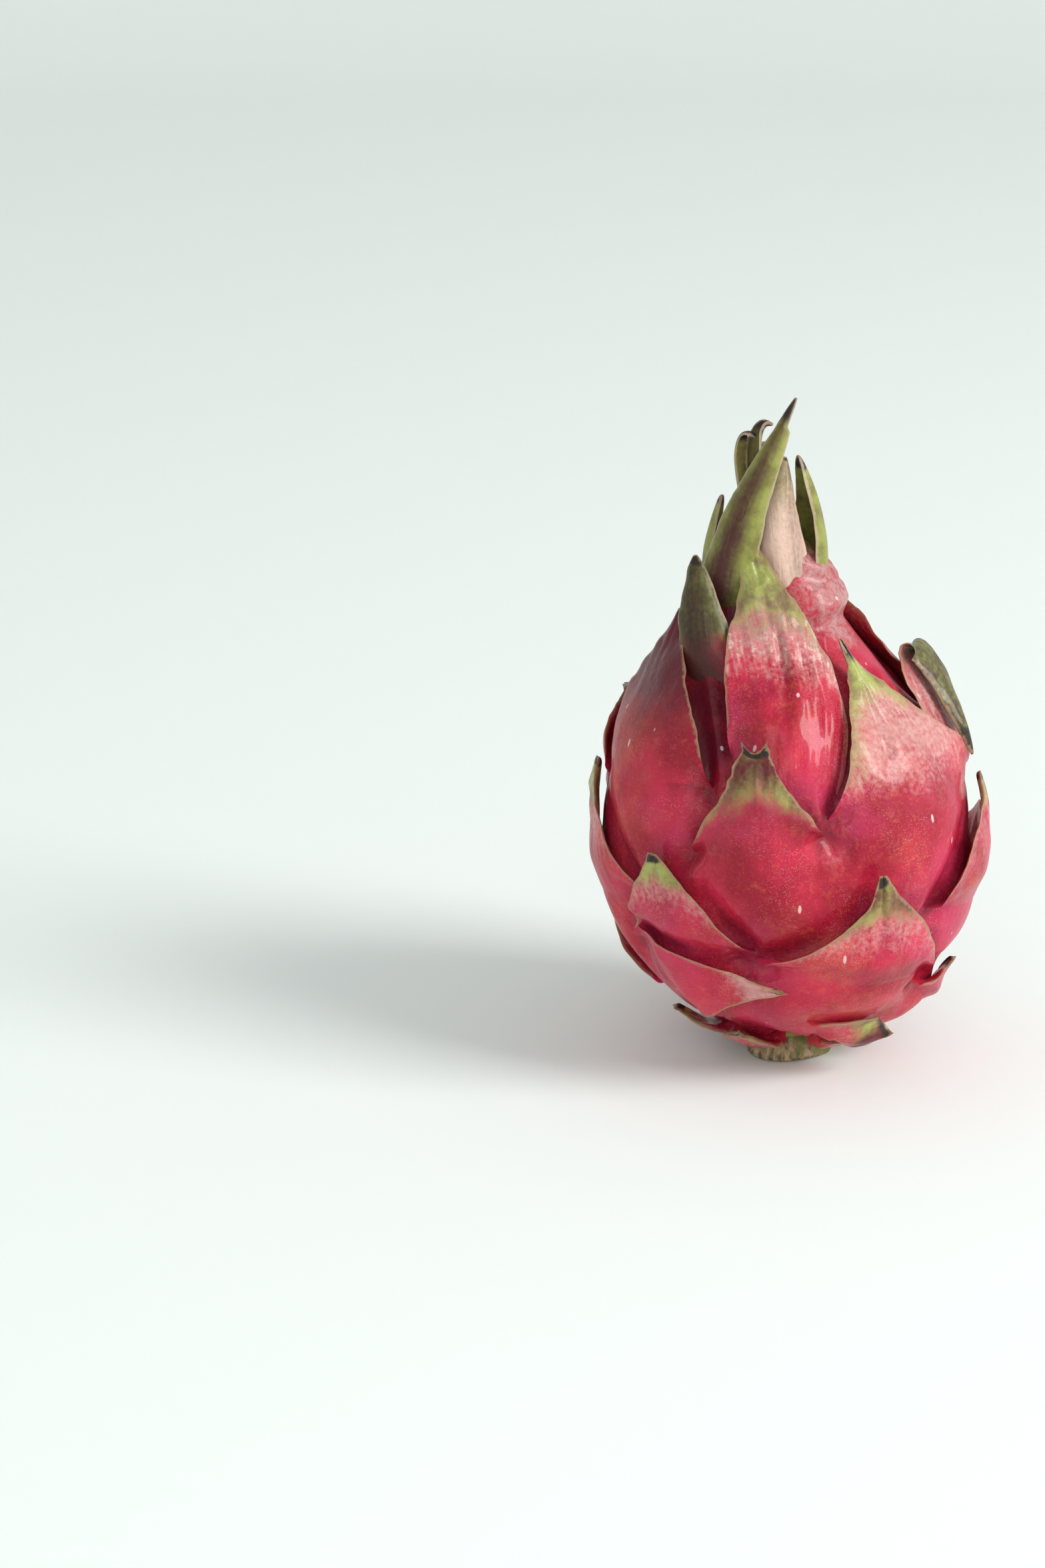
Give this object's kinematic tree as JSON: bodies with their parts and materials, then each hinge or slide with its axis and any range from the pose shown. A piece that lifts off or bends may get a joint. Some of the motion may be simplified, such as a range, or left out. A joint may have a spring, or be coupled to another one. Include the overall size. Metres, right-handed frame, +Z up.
{
  "type": "dragon fruit",
  "caption": "Whole ripe red dragon fruit standing on its cut stem stub, with leathery green-tipped bracts over the skin and a crown of long ones on top.",
  "frame": {"origin": "centre of the flat underside of the cut stem stub, on the surface that the fruit stands on", "axes": "+Z up, out of the table and close to the fruit's own axis, which leans back 3 degrees towards +Y; -Y is the front, with the long crown bract and the nicked bract"},
  "size_m": [0.0914, 0.0898, 0.1533],
  "materials": {
    "skin": "waxy semi-gloss red rind with fine pale pores",
    "scale_bract": "waxy leathery bract, red at the root, pink-white then olive green towards a dry dark tip",
    "crown_bract": "satin leathery bract, maroon at the root and olive green above",
    "stem": "dry matte cut stem, brown and green",
    "withered": "dry papery remains of the flower"
  },
  "bodies": {
    "root": {"base_back": "scale_bract", "base_back_right": "scale_bract", "base_front_left": "scale_bract", "base_front_right": "scale_bract", "base_left": "scale_bract", "base_right": "scale_bract", "bract_back": "scale_bract", "bract_back_high": "scale_bract", "bract_back_left": "scale_bract", "bract_back_left_low": "scale_bract", "bract_back_right_low": "scale_bract", "bract_bent_back": "scale_bract", "bract_front_high": "scale_bract", "bract_front_left": "scale_bract", "bract_front_left_low": "scale_bract", "bract_front_low": "scale_bract", "bract_front_right": "scale_bract", "bract_left": "scale_bract", "bract_left_foot": "scale_bract", "bract_left_low": "scale_bract", "bract_right_foot": "scale_bract", "bract_right_high": "scale_bract", "bract_right_low": "scale_bract", "crown_back": "crown_bract", "crown_back_left": "crown_bract", "crown_front": "crown_bract", "crown_left": "crown_bract", "crown_long": "crown_bract", "crown_right": "crown_bract", "foot_back": "scale_bract", "foot_back_left": "scale_bract", "foot_back_right": "scale_bract", "fruit_body": "skin", "stem_stub": "stem", "withered_flower": "withered", "withered_tip_left": "withered", "withered_tip_right": "withered"}
  },
  "joints": []
}
